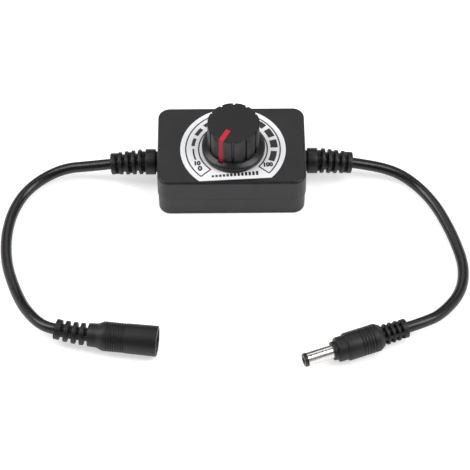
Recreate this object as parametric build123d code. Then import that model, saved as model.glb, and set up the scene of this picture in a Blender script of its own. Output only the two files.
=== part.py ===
from build123d import *
import math
import os

# Inline speed controller for a small direct-current motor: a two-shell plastic box with a dial
# and a fluted knob on top, a corded socket for the supply and a corded plug for the motor.
# Millimetres, +Z up. The origin is the middle of the box's base, which stands on z = 0.
# +X runs from the supply side to the motor side, and -Y is the front, where the knob rests.

# Box
case_length = 60.8
case_width = 40.2
case_height = 20.6
parting_height = 10.0
corner_radius = 5.0
wall = 1.8
roof = 2.2
floor = 1.8
case_draft = 0.6
top_edge_round = 1.0
base_edge_round = 0.6
parting_step = 0.25
groove_depth = 0.35
groove_height = 0.4
lip_thickness = 0.8
lip_height = 1.0
lip_clearance = 0.1

# Screws that close the box, driven from below
post_radius = 3.3
post_inset_x = 4.8
post_inset_y = 4.7
screw_radius = 1.2
screw_head_radius = 2.2
screw_head_height = 1.5
screw_seat_height = 3.0
screw_length = 12.0
screw_clearance = 0.15
screw_pilot_clearance = 0.05
screw_pilot_spare = 0.3
screw_head_clearance = 0.4
screw_head_round = 0.4
cross_length = 2.9
cross_width = 0.6
cross_depth = 0.8

# Dial plate, stuck on the box a little crooked and off the shaft's middle
label_x = 0.6
label_y = -2.2
label_radius = 21.6
label_thickness = 0.15
label_turn = 3.2
label_front_chord = 15.9
label_back_chord = 20.4
label_hole_radius = 4.0

# Potentiometer with a switch behind it
knob_x = 0.8
knob_y = -2.2
knob_travel = 300.0
pot_radius = 8.3
pot_height = 6.8
pot_wall = 1.0
switch_radius = 7.3
switch_chamfer = 0.5
bush_radius = 3.5
bush_above_roof = 3.2
shaft_radius = 3.0
shaft_clearance = 0.08
shaft_chamfer = 0.4
bush_hole_clearance = 0.1
washer_radius = 5.6
washer_thickness = 0.5
nut_across_flats = 10.0
nut_thickness = 2.0
track_radius = 7.1
track_width = 3.5
track_thickness = 0.8
wiper_radius = 6.2
wiper_thickness = 1.4
wiper_notch = 2.4
wiper_gap = 0.3
terminal_width = 1.2
terminal_thickness = 0.5
terminal_pitch = 5.0
terminal_reach = 1.1
terminal_slot_clearance = 0.2
pin_below_board = 0.6

# Knob
knob_gap = 0.6
knob_height = 16.1
knob_radius = 10.65
lobe_count = 12
lobe_radius = 3.4
lobe_turn = -2.0
flute_width = 0.8
flute_depth = 0.5
knob_edge_round = 0.25
skirt_radius = 12.95
skirt_rim = 2.1
skirt_height = 3.1
skirt_top_radius = 10.75
knob_wall = 1.5
knob_top = 2.0
hub_radius = 4.8
hub_rise = 3.6
hub_rib_width = 1.2
hub_rib_rise = 4.6
flat_depth = 0.6
flat_length = 9.0
flat_clearance = 0.2
knob_fit = 0.05

# Red pointer let into the knob
pointer_width = 2.1
pointer_start = 4.3
pointer_inset = 0.25
pointer_proud = 0.08
pointer_depth = 0.8
pointer_bottom = 1.8
pointer_pocket = 1.0
pointer_fit = 0.03

# Circuit board and what stands on it
board_post_clearance = 0.3
board_side_clearance = 1.8
board_thickness = 1.6
board_height = 4.0
standoff_radius = 2.0
standoff_pin_radius = 0.9
standoff_pin_rise = 0.6
standoff_inset = 2.5
board_hole_clearance = 0.1
component_gap = 0.4
chip_y = -8.5
chip_length = 9.6
chip_width = 6.4
chip_height = 3.2
chip_lift = 0.5
chip_edge = 0.4
chip_leg_pitch = 2.54
chip_leg_width = 0.6
chip_leg_depth = 0.9
chip_leg_out = 0.3
chip_leg_height = 2.1
capacitor_y = 9.0
capacitor_radius = 4.0
capacitor_headroom = 1.8
capacitor_crimp_height = 1.8
capacitor_crimp_depth = 0.4
transistor_y = 8.2
transistor_width = 6.6
tab_length = 7.4
tab_thickness = 0.6
transistor_body_length = 6.2
transistor_body_height = 2.4
transistor_edge = 0.3
transistor_leg_pitch = 2.3
transistor_leg_width = 0.8
transistor_leg_reach = 2.8
diode_y = -8.5
diode_radius = 1.4
diode_length = 5.2
diode_span = 4.2
resistor_radius = 1.2
resistor_length = 6.3
resistor_span = 5.0
resistor_rows = (8.6, 11.4, 14.2)
lead_radius = 0.4
disc_radius = 2.2
disc_thickness = 1.6
disc_y = -14.2
disc_pitch = 9.0

# Cords and the moulded strain reliefs at the box
cord_diameter = 4.5
neck_radius = 4.35
neck_length = 0.9
collar_radius = 5.3
collar_length = 4.25
relief_ring_radii = (5.2, 5.05, 4.9, 4.7)
relief_ring_width = 1.65
relief_gap = 1.1
relief_core_radius = 3.1
relief_web_radius = 4.3
relief_web_width = 2.6
relief_end_radius = 4.4
relief_end_length = 2.2
ring_chamfer = 0.25
relief_odd_web = 55.0
relief_even_web = 10.0
supply_relief_droop = 1.8
motor_relief_droop = 2.4
relief_clearance = 0.05
anchor_radius = 5.4
anchor_thickness = 1.5
stub_radius = 2.9
stub_length = 2.4
wire_radius = 0.7
wire_pitch = 1.9
wire_pad_inset = 2.6
wire_bend = 1.4

# Corded socket at the supply end, lying on the table
jack_mouth = (-29.6, -86.8)
jack_heading = 172.8
jack_mouth_radius = 6.1
jack_shoulder_radius = 5.83
jack_body_length = 21.5
jack_body_edge = 0.4
jack_shoulder_length = 2.3
jack_neck_radius = 4.5
jack_neck_taper = 0.1
jack_neck_length = 3.6
jack_mouth_round = 0.4
jack_groove_start = 12.6
jack_groove_count = 6
jack_groove_pitch = 1.25
jack_groove_width = 0.4
jack_groove_depth = 0.25
jack_ring_radii = (4.35, 4.2, 4.05)
jack_ring_width = 1.75
jack_gap = 1.4
jack_core_radius = 2.75
jack_web_radius = 3.5
jack_web_width = 3.6
jack_web_turn = 143.0
jack_end_radius = 3.95
jack_end_length = 2.4
jack_relief_swing = -4.2
jack_relief_droop = -2.8
jack_liner_radius = 4.5
jack_liner_depth = 12.0
jack_liner_recess = 0.4
socket_radius = 2.85
socket_depth = 9.5
sleeve_wall = 0.3
sleeve_recess = 1.2
sleeve_slot = 0.8
sleeve_band = 2.0
jack_pin_radius = 1.0
jack_pin_round = 0.6
jack_pin_recess = 0.8
jack_pin_root_radius = 0.8

# Corded plug at the motor end, lying on the table
plug_tip = (27.18, -95.94)
plug_heading = 20.1
barrel_radius = 2.75
barrel_wall = 0.4
barrel_reach = 11.95
barrel_grip = 0.6
barrel_neck_radius = 2.55
barrel_root = 3.0
barrel_root_radius = 3.05
tip_length = 1.45
tip_chamfer = 0.25
tip_bore_radius = 1.3
contact_wall = 0.35
plug_bore_radius = 1.05
plug_bore_depth = 9.5
flange_radius = 3.75
flange_length = 1.9
step_radius = 4.95
step_length = 3.7
plug_body_radius = 5.6
plug_body_length = 14.4
plug_edge_round = 0.5
plug_shoulder_length = 1.5
plug_groove_start = 6.3
plug_groove_count = 5
plug_groove_pitch = 1.25
plug_groove_width = 0.4
plug_groove_depth = 0.3
plug_relief_lead = 0.3
plug_relief_radius = 4.1
plug_ring_radii = (4.0, 3.9, 3.8)
plug_ring_width = 1.0
plug_gap = 1.3
plug_core_radius = 2.4
plug_web_radius = 3.65
plug_web_width = 1.3
plug_end_radius = 3.65
plug_end_length = 1.45
plug_web_turn = 63.0

# Routes of the two cords on the table, between the straight runs at their two ends
cord_exit_run = 9.0
jack_exit_run = 4.5
plug_exit_run = 8.0
supply_route = [(-68.9, 0.6, 5.5), (-78.2, -2.7, 3.3), (-85.6, -9.4, 2.25), (-90.0, -18.9, 2.25),
                (-91.9, -29.0, 2.25), (-92.0, -38.6, 2.25), (-90.8, -47.4, 2.25), (-88.3, -55.6, 2.25),
                (-84.8, -63.3, 2.25), (-80.6, -70.3, 2.6)]
motor_route = [(69.0, -2.0, 4.4), (77.3, -7.8, 2.4), (83.4, -16.7, 2.25), (87.4, -26.1, 2.25),
               (90.9, -37.0, 2.25), (93.5, -49.8, 2.25), (91.2, -62.2, 2.25), (82.6, -73.5, 4.0)]


LOW = (Align.CENTER, Align.CENTER, Align.MIN)
HIGH = (Align.CENTER, Align.CENTER, Align.MAX)
PAST = 1.0   # how far a cutter reaches past what it cuts
INTO = 0.5   # how far a rib or a hub reaches into the wall that it is one piece with
SEAM = 0.01  # the same for turned pieces in a row

# Heights and places that follow from the sizes above
cavity_length = case_length - 2 * wall
cavity_width = case_width - 2 * wall
roof_underside = case_height - roof
label_top = case_height + label_thickness
board_length = case_length - 2 * (post_inset_x + post_radius + board_post_clearance)
board_width = cavity_width - 2 * board_side_clearance
board_top = board_height + board_thickness
knob_bottom = case_height + knob_gap
knob_summit = knob_bottom + knob_height
pot_floor = roof_underside - pot_height
bush_summit = label_top + bush_above_roof
rest_angle = (360.0 - knob_travel) / 2
screw_places = [(sx * (case_length / 2 - post_inset_x), sy * (case_width / 2 - post_inset_y))
                for sx in (-1, 1) for sy in (-1, 1)]
standoff_places = [(sx * (board_length / 2 - standoff_inset), sy * (board_width / 2 - standoff_inset))
                   for sx in (-1, 1) for sy in (-1, 1)]
terminal_places = [knob_x + step * terminal_pitch for step in (-1, 0, 1)]
terminal_y = knob_y - pot_radius - terminal_reach
wire_pad_x = board_length / 2 - wire_pad_inset
chip_x = knob_x - switch_radius - component_gap - chip_length / 2
capacitor_x = knob_x - pot_radius - component_gap - capacitor_radius
capacitor_top = roof_underside - capacitor_headroom
transistor_x = knob_x + switch_radius + component_gap + transistor_width / 2
diode_x = knob_x + switch_radius + component_gap + lead_radius + diode_span


def rod(radius, low, high, x=0.0, y=0.0):
    """Upright cylinder between two heights."""
    return Pos(x, y, low) * Cylinder(radius, high - low, align=LOW)


def tube(outer, inner, low, high, x=0.0, y=0.0):
    """Upright tube between two heights."""
    return rod(outer, low, high, x, y) - rod(inner, low - PAST, high + PAST, x, y)


def block(x_size, y_size, low, high, x=0.0, y=0.0):
    """Upright box between two heights."""
    return Pos(x, y, low) * Box(x_size, y_size, high - low, align=LOW)


def turned(points):
    """Solid of revolution about the Z axis, from (radius, height) corners."""
    outline = Polyline(*[(r, 0, z) for r, z in points], close=True)
    return revolve(make_face(outline), Axis.Z)


def rounded_prism(length, width, radius, low, high):
    """Straight block with rounded corners between two heights."""
    return Pos(0, 0, low) * extrude(RectangleRounded(length, width, radius), high - low)


def drafted_half(length, width, height, upside_down):
    """Half of the box's outside, drafted away from the parting line."""
    half = extrude(RectangleRounded(length, width, corner_radius), height, taper=case_draft)
    return Pos(0, 0, parting_height) * (Rot(180, 0, 0) * half if upside_down else half)


def cord_holes(radius):
    """Round holes at the parting line, one in each end wall."""
    reach = 2 * wall
    hole = Rot(0, 90, 0) * Cylinder(radius, reach)
    return [Pos(side * (case_length / 2 - wall / 2), 0, parting_height) * hole for side in (-1, 1)]


def make_bottom_case():
    """Lower shell: floor, walls with a lip, screw posts with sunk seats, and board standoffs."""
    length = case_length - 2 * parting_step
    width = case_width - 2 * parting_step
    shell = drafted_half(length, width, parting_height, True)
    shell = fillet(shell.faces().sort_by(Axis.Z)[0].edges(), base_edge_round)
    groove = rounded_prism(length + PAST, width + PAST, corner_radius,
                           parting_height - groove_height, parting_height)
    groove -= rounded_prism(length - 2 * groove_depth, width - 2 * groove_depth,
                            corner_radius - groove_depth, 0, case_height)
    shell -= groove
    lip = rounded_prism(cavity_length + 2 * lip_thickness, cavity_width + 2 * lip_thickness,
                        corner_radius - wall + lip_thickness, floor, parting_height + lip_height)
    shell += lip
    shell -= rounded_prism(cavity_length, cavity_width, corner_radius - wall, floor, case_height)
    for x, y in screw_places:
        shell += rod(post_radius, floor / 2, parting_height, x, y)
        shell -= rod(screw_radius + screw_clearance, 0, case_height, x, y)
        shell -= rod(screw_head_radius + screw_head_clearance, -PAST, screw_seat_height, x, y)
        shell -= rod(post_radius + lip_clearance, parting_height, case_height, x, y)
    for x, y in standoff_places:
        shell += rod(standoff_radius, floor, board_height, x, y)
        shell += rod(standoff_pin_radius, floor, board_top + standoff_pin_rise, x, y)
    for hole in cord_holes(neck_radius + relief_clearance):
        shell -= hole
    return shell


def make_top_case():
    """Upper shell: roof, drafted walls, rebate for the lip, and bosses for the screws."""
    height = case_height - parting_height
    shell = drafted_half(case_length, case_width, height, False)
    shell = fillet(shell.faces().sort_by(Axis.Z)[-1].edges(), top_edge_round)
    shell -= rounded_prism(cavity_length, cavity_width, corner_radius - wall, 0, roof_underside)
    rebate = lip_thickness + lip_clearance
    shell -= rounded_prism(cavity_length + 2 * rebate, cavity_width + 2 * rebate,
                           corner_radius - wall + rebate, 0, parting_height + lip_height + lip_clearance)
    for x, y in screw_places:
        shell += rod(post_radius, parting_height, case_height - roof / 2, x, y)
        pilot_end = screw_seat_height + screw_length + screw_pilot_spare
        shell -= rod(screw_radius + screw_pilot_clearance, parting_height - PAST, pilot_end, x, y)
    shell -= rod(bush_radius + bush_hole_clearance, parting_height, case_height + PAST, knob_x, knob_y)
    for hole in cord_holes(neck_radius + relief_clearance):
        shell -= hole
    return shell


def make_case_screws():
    """Four self-tapping screws with cross recesses, sunk in the base."""
    head_low = screw_seat_height - screw_head_height
    screw = turned([(0, head_low), (screw_head_radius - screw_head_round, head_low),
                    (screw_head_radius, head_low + screw_head_round),
                    (screw_head_radius, screw_seat_height), (screw_radius, screw_seat_height),
                    (screw_radius, screw_seat_height + screw_length - screw_radius),
                    (0, screw_seat_height + screw_length)])
    for x_size, y_size in ((cross_length, cross_width), (cross_width, cross_length)):
        screw -= block(x_size, y_size, head_low - PAST, head_low + cross_depth)
    return Compound(children=[Pos(x, y, 0) * screw for x, y in screw_places])


def make_dial_label():
    """Thin round dial plate, cut straight along the front and the back, with a hole for the bush."""
    plate = rod(label_radius, 0, label_thickness)
    depth = label_front_chord + label_back_chord
    middle = (label_back_chord - label_front_chord) / 2
    plate &= block(3 * label_radius, depth, -PAST, PAST, 0, middle)
    plate -= rod(label_hole_radius, -PAST, PAST)
    return Pos(label_x, label_y, case_height) * Rot(0, 0, label_turn) * plate


def make_circuit_board():
    """Board on four standoffs, with holes for their pins and slots for the terminals."""
    board = block(board_length, board_width, board_height, board_top)
    for x, y in standoff_places:
        board -= rod(standoff_pin_radius + board_hole_clearance, 0, case_height, x, y)
    spare = 2 * terminal_slot_clearance
    for x in terminal_places:
        board -= block(terminal_width + spare, terminal_thickness + spare, 0, case_height, x, terminal_y)
    return board


def make_pot_housing():
    """Round can of the potentiometer, open inside for the wiper, with its threaded bush."""
    can = rod(pot_radius, pot_floor, roof_underside)
    can -= rod(pot_radius - pot_wall, pot_floor + pot_wall, roof_underside - pot_wall)
    can += rod(bush_radius, roof_underside - pot_wall, bush_summit)
    can -= rod(shaft_radius + shaft_clearance, pot_floor + pot_wall, bush_summit + PAST)
    return Pos(knob_x, knob_y, 0) * can


def make_pot_switch():
    """Snap switch behind the potentiometer, standing on the board."""
    body = rod(switch_radius, board_top, pot_floor)
    body = chamfer(body.edges().sort_by(Axis.Z)[0], switch_chamfer)
    return Pos(knob_x, knob_y, 0) * body


def make_pot_track():
    """Resistance track on the floor of the potentiometer."""
    low = pot_floor + pot_wall
    track = tube(track_radius, track_radius - track_width, low, low + track_thickness)
    return Pos(knob_x, knob_y, 0) * track


def make_pot_terminals():
    """Three bent terminals from the track through the board."""
    level = pot_floor + pot_wall
    outer = terminal_y - terminal_thickness / 2
    legs = []
    for x in terminal_places:
        nearest = max(abs(x - knob_x) - terminal_width / 2, 0)
        inner = knob_y - math.sqrt(pot_radius ** 2 - nearest ** 2)
        foot = block(terminal_width, inner - outer, level, level + terminal_thickness, x, (outer + inner) / 2)
        leg = block(terminal_width, terminal_thickness, board_height - pin_below_board,
                    level + terminal_thickness, x, terminal_y)
        legs.append(foot + leg)
    return Compound(children=legs)


def make_pot_washer():
    """Plain washer on the dial plate."""
    washer = tube(washer_radius, bush_radius + bush_hole_clearance, label_top, label_top + washer_thickness)
    return Pos(knob_x, knob_y, 0) * washer


def make_pot_nut():
    """Thin hexagon nut that clamps the potentiometer to the roof."""
    low = label_top + washer_thickness
    across_corners = nut_across_flats / math.cos(math.pi / 6)
    nut = Pos(0, 0, low) * extrude(RegularPolygon(across_corners / 2, 6), nut_thickness)
    nut -= rod(bush_radius + bush_hole_clearance / 2, 0, 2 * case_height)
    return Pos(knob_x, knob_y, 0) * nut


def make_pot_shaft():
    """Shaft with a flat, from the wiper up into the knob."""
    low = pot_floor + pot_wall + track_thickness + wiper_gap
    high = knob_summit - knob_top
    shaft = chamfer(rod(shaft_radius, low, high).edges().sort_by(Axis.Z)[-1], shaft_chamfer)
    shaft -= Pos(0, -shaft_radius + flat_depth, high - flat_length) * Box(
        4 * shaft_radius, 2 * shaft_radius, 2 * flat_length, align=(Align.CENTER, Align.MAX, Align.MIN))
    return Pos(knob_x, knob_y, 0) * Rot(0, 0, -rest_angle) * shaft


def make_pot_wiper():
    """Wiper disc on the shaft, just above the track, with a notch in its rim."""
    low = pot_floor + pot_wall + track_thickness + wiper_gap
    disc = tube(wiper_radius, shaft_radius + knob_fit, low, low + wiper_thickness)
    disc -= block(wiper_notch, wiper_notch, low - PAST, low + wiper_thickness + PAST, 0, wiper_radius)
    return Pos(knob_x, knob_y, 0) * Rot(0, 0, -rest_angle) * disc


def knob_outside():
    """Fluted body with a rounded top edge on a flared skirt."""
    low, high = knob_bottom, knob_summit
    lobe_centre = knob_radius - lobe_radius
    section = Circle(lobe_centre)
    for index in range(lobe_count):
        turn = Rot(0, 0, (index + 0.5) * 360 / lobe_count)
        section += turn * Pos(0, lobe_centre) * Circle(lobe_radius)
    notch = lobe_centre * math.cos(math.pi / lobe_count)
    notch += math.sqrt(lobe_radius ** 2 - (lobe_centre * math.sin(math.pi / lobe_count)) ** 2)
    for index in range(lobe_count):
        turn = Rot(0, 0, index * 360 / lobe_count)
        section -= turn * Pos(0, notch) * Rectangle(flute_width, 2 * flute_depth)
    body = Pos(0, 0, low) * Rot(0, 0, lobe_turn) * extrude(section, high - low)
    rounding = [(knob_radius - knob_edge_round * (1 - math.cos(angle)),
                 high - knob_edge_round * (1 - math.sin(angle)))
                for angle in (0, math.pi / 6, math.pi / 3, math.pi / 2)]
    edge = turned([(0, low), (knob_radius + PAST, low), (knob_radius + PAST, high - 2 * knob_edge_round),
                   *rounding, (0, high)])
    skirt = turned([(0, low), (skirt_radius, low), (skirt_radius, low + skirt_rim),
                    (skirt_top_radius, low + skirt_height), (0, low + skirt_height)])
    return (body & edge) + skirt


def pointer_shape(fit):
    """Angled strip that runs along the knob's top and down its side, smaller by the fit."""
    face = knob_radius - pointer_inset
    top = knob_summit + pointer_proud
    width = pointer_width - 2 * fit
    low = knob_bottom + pointer_bottom + fit
    start = pointer_start + fit
    across = Pos(0, -(face + start) / 2, top) * Box(width, face - start, pointer_depth - fit, align=HIGH)
    thickness = pointer_depth - fit
    down = block(width, thickness, low, top, 0, thickness / 2 - face)
    return across + down


def make_knob():
    """Hollow knob: outer wall, hub on the shaft, ribs between, and a slot for the pointer."""
    knob = knob_outside()
    inside = knob_radius - 2 * flute_depth - knob_wall
    ceiling = knob_summit - knob_top
    knob -= rod(inside, knob_bottom - PAST, ceiling)
    knob += rod(hub_radius, knob_bottom + hub_rise, ceiling + INTO)
    for angle in (45, 135):
        rib = block(2 * inside + INTO, hub_rib_width, knob_bottom + hub_rib_rise, ceiling + INTO)
        knob += Rot(0, 0, angle) * rib
    bore = rod(shaft_radius + knob_fit, 0, ceiling)
    flat = shaft_radius - flat_depth + knob_fit
    bore -= Pos(0, -flat, ceiling - flat_length + flat_clearance) * Box(
        4 * shaft_radius, 2 * shaft_radius, 2 * flat_length, align=(Align.CENTER, Align.MAX, Align.MIN))
    knob -= bore
    knob -= pointer_shape(0)
    face = knob_radius - pointer_inset
    knob -= block(pointer_width, pointer_pocket, knob_bottom + pointer_bottom, knob_summit + PAST,
                  0, -face - pointer_pocket / 2)
    return Pos(knob_x, knob_y, 0) * Rot(0, 0, -rest_angle) * knob


def make_pointer_line():
    """Red pointer strip in the knob."""
    return Pos(knob_x, knob_y, 0) * Rot(0, 0, -rest_angle) * pointer_shape(pointer_fit)


def make_timer_chip():
    """Eight-legged chip on the board."""
    low = board_top + chip_lift
    body = block(chip_length, chip_width, low, low + chip_height)
    body = chamfer(body.faces().sort_by(Axis.Z)[-1].edges(), chip_edge)
    for side in (-1, 1):
        y = side * (chip_width / 2 + chip_leg_out)
        for step in range(4):
            x = (step - 1.5) * chip_leg_pitch
            body += block(chip_leg_width, chip_leg_depth, board_top, board_top + chip_leg_height, x, y)
    return Pos(chip_x, chip_y, 0) * body


def make_electrolytic_capacitor():
    """Upright can with a crimped groove near its foot."""
    top, depth = capacitor_top, capacitor_crimp_depth
    crimp = board_top + capacitor_crimp_height
    can = turned([(0, board_top), (capacitor_radius, board_top), (capacitor_radius, crimp - depth),
                  (capacitor_radius - depth, crimp), (capacitor_radius, crimp + depth),
                  (capacitor_radius, top - depth), (capacitor_radius - depth, top), (0, top)])
    return Pos(capacitor_x, capacitor_y, 0) * can


def make_power_transistor():
    """Flat three-legged power transistor on its tab."""
    tab = block(transistor_width, tab_length, board_top, board_top + tab_thickness)
    body = block(transistor_width, transistor_body_length, board_top, board_top + transistor_body_height,
                 0, (transistor_body_length - tab_length) / 2)
    part = tab + chamfer(body.faces().sort_by(Axis.Z)[-1].edges(), transistor_edge)
    leg_length = transistor_leg_reach + INTO
    leg_y = -(tab_length + transistor_leg_reach - INTO) / 2
    for step in (-1, 0, 1):
        part += block(transistor_leg_width, leg_length, board_top, board_top + tab_thickness,
                      step * transistor_leg_pitch, leg_y)
    return Pos(transistor_x, transistor_y, 0) * part


def axial_part(radius, length, span, x, y):
    """Lying cylinder whose two leads bend down to the board."""
    level = board_top + radius
    body = Pos(0, 0, level) * Rot(0, 90, 0) * Cylinder(radius, length)
    lead = Pos(0, 0, level) * Rot(0, 90, 0) * Cylinder(lead_radius, 2 * span)
    body += lead
    for side in (-1, 1):
        body += rod(lead_radius, board_top, level, side * span)
        body += Pos(side * span, 0, level) * Sphere(lead_radius)
    return Pos(x, y, 0) * body


def make_flyback_diode():
    """Diode that carries the motor's freewheel current."""
    return axial_part(diode_radius, diode_length, diode_span, diode_x, diode_y)


def make_resistors():
    """Three resistors side by side behind the potentiometer."""
    return Compound(children=[axial_part(resistor_radius, resistor_length, resistor_span, knob_x, y)
                              for y in resistor_rows])


def make_disc_capacitors():
    """Two small upright disc capacitors."""
    disc = Pos(0, 0, board_top + disc_radius) * Rot(90, 0, 0) * Cylinder(disc_radius, disc_thickness)
    return Compound(children=[Pos(knob_x + side * disc_pitch / 2, disc_y, 0) * disc for side in (-1, 1)])


def ring(radius, width):
    """Disc with both rims chamfered, from z = 0 up."""
    edge = ring_chamfer
    return turned([(0, 0), (radius - edge, 0), (radius, edge), (radius, width - edge),
                   (radius - edge, width), (0, width)])


def ribbed_run(sections, core, web_radius, web_width, web_turns, bend):
    """Moulded relief along +Z: a gap with webs before each ring, turned a little about X and Y at each.

    Returns the solid and the place of its far end.
    """
    place = Location()
    run = None
    for index, (gap, radius, width) in enumerate(sections):
        slice_ = Cylinder(core, gap + SEAM, align=LOW)
        for turn in web_turns[index % len(web_turns)]:
            slice_ += Rot(0, 0, turn) * Box(2 * web_radius, web_width, gap, align=LOW)
        slice_ &= Cylinder(web_radius, gap + SEAM, align=LOW)
        piece = place * slice_
        place = place * Pos(0, 0, gap) * Rot(*bend, 0)
        piece += place * ring(radius, width)
        place = place * Pos(0, 0, width)
        run = piece if run is None else run + piece
    return run, place


def make_relief(side, droop):
    """Strain relief on the box: neck in the wall, anchor inside, collar and rings outside.

    Built along +Z and laid along the cord; side is -1 for supply and 1 for motor.
    """
    outside = case_length / 2
    inside = cavity_length / 2
    base = rod(neck_radius, inside - SEAM, outside + neck_length + SEAM)
    base += rod(anchor_radius, inside - anchor_thickness - relief_clearance, inside - relief_clearance)
    base += rod(stub_radius, inside - anchor_thickness - stub_length, inside)
    base += Pos(0, 0, outside + neck_length) * ring(collar_radius, collar_length)
    sections = [(relief_gap, radius, relief_ring_width) for radius in relief_ring_radii]
    sections.append((relief_gap, relief_end_radius, relief_end_length))
    webs = [(90 - side * relief_odd_web,), (90 - side * relief_even_web,)]
    start = Pos(0, 0, outside + neck_length + collar_length - SEAM)
    run, end = ribbed_run(sections, relief_core_radius, relief_web_radius, relief_web_width, webs, (droop, 0))
    # local Y points up, and the bend turns the axis away from it, so that the cord droops
    lay = Pos(0, 0, parting_height) * Plane(origin=(0, 0, 0), x_dir=(0, side, 0), z_dir=(side, 0, 0)).location
    return lay * (base + start * run), lay * start * end


def make_wires(side):
    """Two insulated wires from the cord's end down to the board."""
    start_x = cavity_length / 2 - anchor_thickness - stub_length
    wires = []
    for lane in (-0.5, 0.5):
        y = lane * wire_pitch
        points = [(side * start_x, y, parting_height), (side * wire_pad_x, y, parting_height),
                  (side * wire_pad_x, y, board_top)]
        path = FilletPolyline(*points, radius=wire_bend)
        wires.append(sweep(Plane(origin=path @ 0, z_dir=path % 0) * Circle(wire_radius), path=path))
    return Compound(children=wires)


def cord_path(points):
    """Straight runs joined by tangent arcs, each arc as large as its two runs allow."""
    points = [Vector(*p) for p in points]
    radii = []
    for before, corner, after in zip(points, points[1:], points[2:]):
        first, second = corner - before, after - corner
        half_turn = math.radians(first.get_angle(second)) / 2
        radii.append(0.45 * min(first.length, second.length) / math.tan(half_turn))
    return FilletPolyline(*points, radius=radii), radii


def whole_route(start, middle, end, end_run):
    """The route's points, with a straight run square out of the relief at each end."""
    first = (start * Pos(0, 0, cord_exit_run)).position
    last = (end * Pos(0, 0, end_run)).position
    return [tuple(start.position), tuple(first), *middle, tuple(last), tuple(end.position)]


def make_cord(name, points):
    """Round cord along its route, with its radii and its volume printed for checking."""
    path, radii = cord_path(points)
    section = Plane(origin=path @ 0, z_dir=path % 0) * Circle(cord_diameter / 2)
    cord = sweep(section, path=path)
    expected = math.pi * cord_diameter ** 2 / 4 * path.length
    print(name, "length", round(path.length, 1), "radii", [round(r, 1) for r in radii],
          "volume", round(cord.volume, 1), "of", round(expected, 1))
    print(name, "route", [tuple(round(v, 2) for v in p) for p in points])
    return cord


def groove_rings(start, count, pitch, width, depth, outer):
    """Fine grooves round a body, as a list of rings to cut."""
    rings = []
    for index in range(count):
        low = start + index * pitch
        rings.append(tube(outer + 1, outer - depth, low, low + width))
    return rings


def jack_place():
    """Location of the socket's mouth; its local +Z runs back along the socket to the cord."""
    heading = math.radians(jack_heading)
    return Plane(origin=(jack_mouth[0], jack_mouth[1], jack_mouth_radius),
                 x_dir=(0, 0, 1), z_dir=(math.cos(heading), math.sin(heading), 0)).location


def plug_place():
    """Location of the plug's tip; its local +Z runs back along the plug to the cord."""
    heading = math.radians(plug_heading)
    return Plane(origin=(plug_tip[0], plug_tip[1], plug_body_radius),
                 x_dir=(0, 0, 1), z_dir=(math.cos(heading), math.sin(heading), 0)).location


def make_jack_shell():
    """Moulded socket body with fine grooves, shoulder, neck and ringed relief, hollow at the mouth."""
    body_end = jack_body_length
    neck_start = body_end + jack_shoulder_length
    neck_end = neck_start + jack_neck_length
    body = turned([(0, 0), (jack_mouth_radius - jack_mouth_round, 0), (jack_mouth_radius, jack_mouth_round),
                   (jack_shoulder_radius, body_end - jack_body_edge),
                   (jack_shoulder_radius - jack_body_edge / 2, body_end),
                   (jack_neck_radius, neck_start), (jack_neck_radius - jack_neck_taper, neck_end),
                   (0, neck_end)])
    for groove in groove_rings(jack_groove_start, jack_groove_count, jack_groove_pitch,
                               jack_groove_width, jack_groove_depth, jack_shoulder_radius):
        body -= groove
    body -= rod(jack_liner_radius, -PAST, jack_liner_depth)
    sections = [(jack_gap, radius, jack_ring_width) for radius in jack_ring_radii]
    sections.append((jack_gap, jack_end_radius, jack_end_length))
    run, end = ribbed_run(sections, jack_core_radius, jack_web_radius, jack_web_width, [(jack_web_turn,)],
                          (jack_relief_swing, jack_relief_droop))
    start = Pos(0, 0, neck_end - SEAM)
    return jack_place() * (body + start * run), jack_place() * start * end


def make_jack_liner():
    """Hard plastic liner of the socket, with its bore stepped for the contact sleeve."""
    liner = rod(jack_liner_radius, jack_liner_recess, jack_liner_depth)
    liner -= rod(socket_radius, -PAST, socket_depth)
    liner -= rod(socket_radius + sleeve_wall, sleeve_recess, socket_depth)
    liner -= rod(jack_pin_root_radius, 0, jack_liner_depth + PAST)
    return jack_place() * liner


def make_jack_sleeve():
    """Slit contact sleeve that grips the outside of a plug's barrel."""
    sleeve = tube(socket_radius + sleeve_wall, socket_radius, sleeve_recess, socket_depth)
    sleeve -= block(2 * socket_radius, sleeve_slot, 0, socket_depth - sleeve_band, socket_radius)
    return jack_place() * sleeve


def make_jack_pin():
    """Centre pin of the socket, rounded at its free end, with a thinner root in the liner."""
    pin = rod(jack_pin_radius, jack_pin_recess, socket_depth)
    pin = fillet(pin.edges().sort_by(Axis.Z)[0], jack_pin_round)
    pin += rod(jack_pin_root_radius, socket_depth - INTO, jack_liner_depth)
    return jack_place() * pin


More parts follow.
